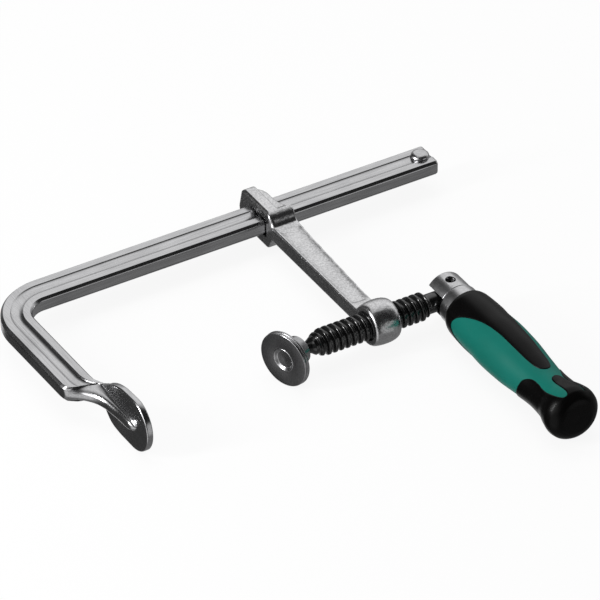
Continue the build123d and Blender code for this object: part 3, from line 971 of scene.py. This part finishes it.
def stations_between(first, last, count, crowd_first=False, crowd_last=False):
    """Stations along the handle, closer together at an end where an outline rounds off."""
    out = []
    for k in range(count + 1):
        t = k / count
        if crowd_first and crowd_last:
            t = 0.5 - 0.5 * cos(pi * t)
        elif crowd_first:
            t = 1 - cos(t * pi / 2)
        elif crowd_last:
            t = sin(t * pi / 2)
        out.append(between(first, last, t))
    return out


def ring_mesh(outline):
    """Closed ring turned about the handle's axis from (station, radius) points."""
    return turned([(FORK_END - s, r) for s, r in outline], (0, 1, 0), (HINGE_X, 0, 0), 144)


def sleeve_mesh(stations, low, high, whole, columns):
    """One side of a sleeve between two edge angles, which roll down to the core.

    Where the sleeve is whole its edges meet the other side's, and do not roll.
    """
    def slope(bound, station):
        return radians(bound(station + 0.2) - bound(station - 0.2)) / 0.4

    def place(row, column):
        station = stations[row]
        radius = handle_radius(station)
        first = radians(low(station))
        last = radians(high(station))
        angle = between(first, last, 0.5 - 0.5 * cos(pi * column / columns))
        top = radius + PROUD - roll_off(station - FERRULE_END, ROLL)
        if not whole(station):
            to_low = (angle - first) * radius / sqrt(1 + (slope(low, station) * radius) ** 2)
            to_high = (last - angle) * radius / sqrt(1 + (slope(high, station) * radius) ** 2)
            top -= roll_off(min(to_low, to_high), ROLL)
        return handle_point(station, top, angle)
    mesh = surface(len(stations) - 1, columns, place)
    boundary = [e for e in mesh.edges if e.is_boundary]
    grown = bmesh.ops.extrude_edge_only(mesh, edges=boundary)
    for vertex in [g for g in grown["geom"] if isinstance(g, bmesh.types.BMVert)]:
        station = FORK_END - vertex.co.y / MM
        side = Vector((vertex.co.x - HINGE_X * MM, 0, vertex.co.z)).normalized()
        side *= (handle_radius(station) - SKIN) * MM
        vertex.co = Vector((HINGE_X * MM + side.x, vertex.co.y, side.z))
    return mesh


def build_grip_front():
    stations = [FERRULE_END, FERRULE_END + 0.12, FERRULE_END + 0.4, FERRULE_END + 0.9]
    stations += stations_between(FERRULE_END + 1.5, COLLAR_END, 14)
    stations += stations_between(COLLAR_END, 44.0, 36, crowd_first=True)[1:]
    stations += stations_between(44.0, 96.0, 70)[1:]
    stations += stations_between(96.0, 106.0, 40, crowd_last=True)[1:]
    meshes = []
    for turn in (0, 180):
        def low(s, turn=turn):
            return turn - front_tongue(s)

        def high(s, turn=turn):
            return turn + front_tongue(s)
        meshes.append(sleeve_mesh(stations, low, high, lambda s: s <= COLLAR_END, 72))
    mesh = joined(meshes)
    return new_piece("front_sleeve", mesh, "handle", RUBBER, ["grip_front"], 50)


def build_grip_rear():
    knob = stations_between(KNOB_FROM, KNOB_END, 24, crowd_last=True)[1:]
    top = stations_between(TOP_FROM, KNOB_FROM, 60, crowd_first=True, crowd_last=True) + knob
    under = stations_between(UNDER_FROM, KNOB_FROM, 110, crowd_first=True, crowd_last=True) + knob

    def whole(station):
        return station >= KNOB_FROM
    top_mesh = sleeve_mesh(top, lambda s: -rear_tongue(s), rear_tongue, whole, 48)
    under_mesh = sleeve_mesh(under, rear_gap, lambda s: 360 - far_gap(s), whole, 160)
    mesh = joined([top_mesh, under_mesh])
    return new_piece("knob_sleeve", mesh, "handle", RUBBER, ["grip_rear"], 50)


def build_cap():
    outline = rounded([
        (KNOB_END - 2, 0, 0.01), (KNOB_END - 2, CAP_R - 0.1, 0.1), (KNOB_END - 0.05, CAP_R - 0.1, 0.35),
        (KNOB_END - 0.05, 0, 0.01),
    ], 0.2, 4)
    mesh = ring_mesh([tuple(p) for p in outline])
    return new_piece("knob_disc", mesh, "handle", RUBBER, ["end_cap"], 40)


def build_core():
    stations = stations_between(FERRULE_END, KNOB_END - 1.0, 160)
    outline = []
    for s in stations:
        sunk = 0.12 + 0.8 * ease((s - 134) / 3) + 0.6 * ease((26 - s) / 2)
        outline.append((s, handle_radius(s) - sunk))
    mesh = ring_mesh([(FERRULE_END, 0), *outline, (KNOB_END - 1.0, 0)])
    return new_piece("teal_core", mesh, "handle", TEAL, ["handle_core"], 40)


# ---- studio -------------------------------------------------------------------------------------

CAMERA_AZIMUTH = radians(-30.9)
CAMERA_ELEVATION = radians(36.1)
CAMERA_TARGET = Vector((0.1314, 0.0393, 0.0))
CAMERA_DISTANCE = 4.892
CAMERA_LENS = 535.4
FLOOR_Z = -0.0164
FLOOR_GREY = 0.86
FLOOR_GLOW = 0.9


def build_camera():
    level = cos(CAMERA_ELEVATION)
    back = Vector((
        sin(CAMERA_AZIMUTH) * level, -cos(CAMERA_AZIMUTH) * level, sin(CAMERA_ELEVATION),
    ))
    data = bpy.data.cameras.new("camera")
    data.lens = CAMERA_LENS
    data.sensor_width = 36.0
    data.clip_end = 50.0
    camera = bpy.data.objects.new("camera", data)
    bpy.context.scene.collection.objects.link(camera)
    camera.location = CAMERA_TARGET + back * CAMERA_DISTANCE
    camera.rotation_euler = back.to_track_quat("Z", "Y").to_euler()
    bpy.context.scene.camera = camera


def floor_finish():
    """Matte floor that is nearly white where it is seen directly."""
    material = bpy.data.materials.new("pale_floor")
    material.use_nodes = True
    nodes = material.node_tree.nodes
    links = material.node_tree.links
    nodes.clear()
    out = nodes.new("ShaderNodeOutputMaterial")
    mix = nodes.new("ShaderNodeMixShader")
    path = nodes.new("ShaderNodeLightPath")
    matte = nodes.new("ShaderNodeBsdfDiffuse")
    matte.inputs["Color"].default_value = (*(FLOOR_GREY,) * 3, 1)
    glow = nodes.new("ShaderNodeEmission")
    glow.inputs["Strength"].default_value = 1.0
    part = nodes.new("ShaderNodeMath")
    part.operation = "MULTIPLY"
    part.inputs[1].default_value = FLOOR_GLOW
    links.new(path.outputs["Is Camera Ray"], part.inputs[0])
    links.new(part.outputs[0], mix.inputs["Fac"])
    links.new(matte.outputs[0], mix.inputs[1])
    links.new(glow.outputs[0], mix.inputs[2])
    links.new(mix.outputs[0], out.inputs["Surface"])
    return material


def build_floor():
    mesh = bmesh.new()
    bmesh.ops.create_grid(mesh, x_segments=1, y_segments=1, size=4.0)
    bmesh.ops.translate(mesh, verts=mesh.verts, vec=(0, 0, FLOOR_Z))
    data = bpy.data.meshes.new("floor")
    mesh.to_mesh(data)
    mesh.free()
    data.materials.append(floor_finish())
    floor = bpy.data.objects.new("floor", data)
    bpy.context.scene.collection.objects.link(floor)
    floor.visible_glossy = False


# what polished faces mirror: direction, cosine where it fades out, cosine where it is full, brightness
STUDIO_PATCHES = (
    ((0.0, 0.0, -1.0), -0.40, 0.02, 0.22),
    ((-0.50, 0.66, -0.56), 0.78, 0.94, 0.05),
    ((0.16, 0.68, -0.72), 0.93, 0.98, 0.7),
    ((0.15, -0.78, 0.60), 0.30, 0.74, 0.012),
    ((-0.62, 0.62, 0.48), 0.60, 0.84, 0.03),
    ((-0.80, -0.42, -0.42), 0.84, 0.96, 0.8),
    ((0.41, -0.90, -0.04), 0.89, 0.97, 0.6),
    ((-0.92, -0.04, 0.36), 0.86, 0.96, 2.4),
)
WORLD_LIGHT = 0.5
WHITE = (1, 1, 1, 1)


def mirrored_studio(tree, where):
    """White surroundings with dark cards and bright strips, as seen in polished faces."""
    colour = WHITE
    for direction, edge, core, brightness in STUDIO_PATCHES:
        dot = tree.nodes.new("ShaderNodeVectorMath")
        dot.operation = "DOT_PRODUCT"
        dot.inputs[1].default_value = Vector(direction).normalized()
        tree.links.new(where, dot.inputs[0])
        fade = tree.nodes.new("ShaderNodeMapRange")
        fade.interpolation_type = "SMOOTHSTEP"
        fade.inputs["From Min"].default_value = edge
        fade.inputs["From Max"].default_value = core
        tree.links.new(dot.outputs["Value"], fade.inputs["Value"])
        colour = colour_mix(tree, fade.outputs["Result"], colour, (*(brightness,) * 3, 1))
    return colour


def clamped_sum(tree, first, second):
    node = tree.nodes.new("ShaderNodeMath")
    node.operation = "ADD"
    node.use_clamp = True
    tree.links.new(first, node.inputs[0])
    tree.links.new(second, node.inputs[1])
    return node.outputs[0]


def build_world():
    """Even light, white behind the clamp, and the studio in its polished faces."""
    world = bpy.data.worlds.new("studio")
    bpy.context.scene.world = world
    world.use_nodes = True
    tree = world.node_tree
    tree.nodes.clear()
    out = tree.nodes.new("ShaderNodeOutputWorld")
    path = tree.nodes.new("ShaderNodeLightPath")
    where = tree.nodes.new("ShaderNodeTexCoord").outputs["Generated"]
    light = tree.nodes.new("ShaderNodeBackground")
    light.inputs["Color"].default_value = WHITE
    light.inputs["Strength"].default_value = WORLD_LIGHT
    shown = tree.nodes.new("ShaderNodeBackground")
    shown.inputs["Strength"].default_value = 1.0
    camera_ray = path.outputs["Is Camera Ray"]
    seen = colour_mix(tree, camera_ray, mirrored_studio(tree, where), WHITE)
    tree.links.new(seen, shown.inputs["Color"])
    direct = clamped_sum(tree, camera_ray, path.outputs["Is Glossy Ray"])
    direct = clamped_sum(tree, direct, path.outputs["Is Transmission Ray"])
    choose = tree.nodes.new("ShaderNodeMixShader")
    tree.links.new(direct, choose.inputs["Fac"])
    tree.links.new(light.outputs[0], choose.inputs[1])
    tree.links.new(shown.outputs[0], choose.inputs[2])
    tree.links.new(choose.outputs[0], out.inputs["Surface"])


def build_lamp(name, place, wide, tall, power, mirrored):
    """Soft lamp aimed at the clamp, seen or not seen in its polished faces."""
    data = bpy.data.lights.new(name, "AREA")
    data.shape = "RECTANGLE"
    data.size = wide
    data.size_y = tall
    data.energy = power
    lamp = bpy.data.objects.new(name, data)
    bpy.context.scene.collection.objects.link(lamp)
    lamp.visible_glossy = mirrored
    lamp.location = Vector(place)
    away = Vector(place) - CAMERA_TARGET
    lamp.rotation_euler = away.to_track_quat("Z", "Y").to_euler()


bpy.context.scene.view_settings.view_transform = "Standard"
build_camera()
build_floor()
build_world()
build_lamp("top_lamp", (0.2, 0.5, 1.5), 1.2, 1.2, 9, False)
build_lamp("side_lamp", (-1.0, 0.22, 0.5), 0.14, 0.7, 10, True)

build_rail()
build_rivet()
build_sliding_arm()
build_spindle()
build_plate()
build_socket()
build_fork()
build_ferrule()
build_core()
build_grip_front()
build_grip_rear()
build_cap()
for node, finish in (("ball_seat", DARK), ("hinge_pin", OXIDE)):
    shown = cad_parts[node]
    shown.data.materials.clear()
    shown.data.materials.append(finish)
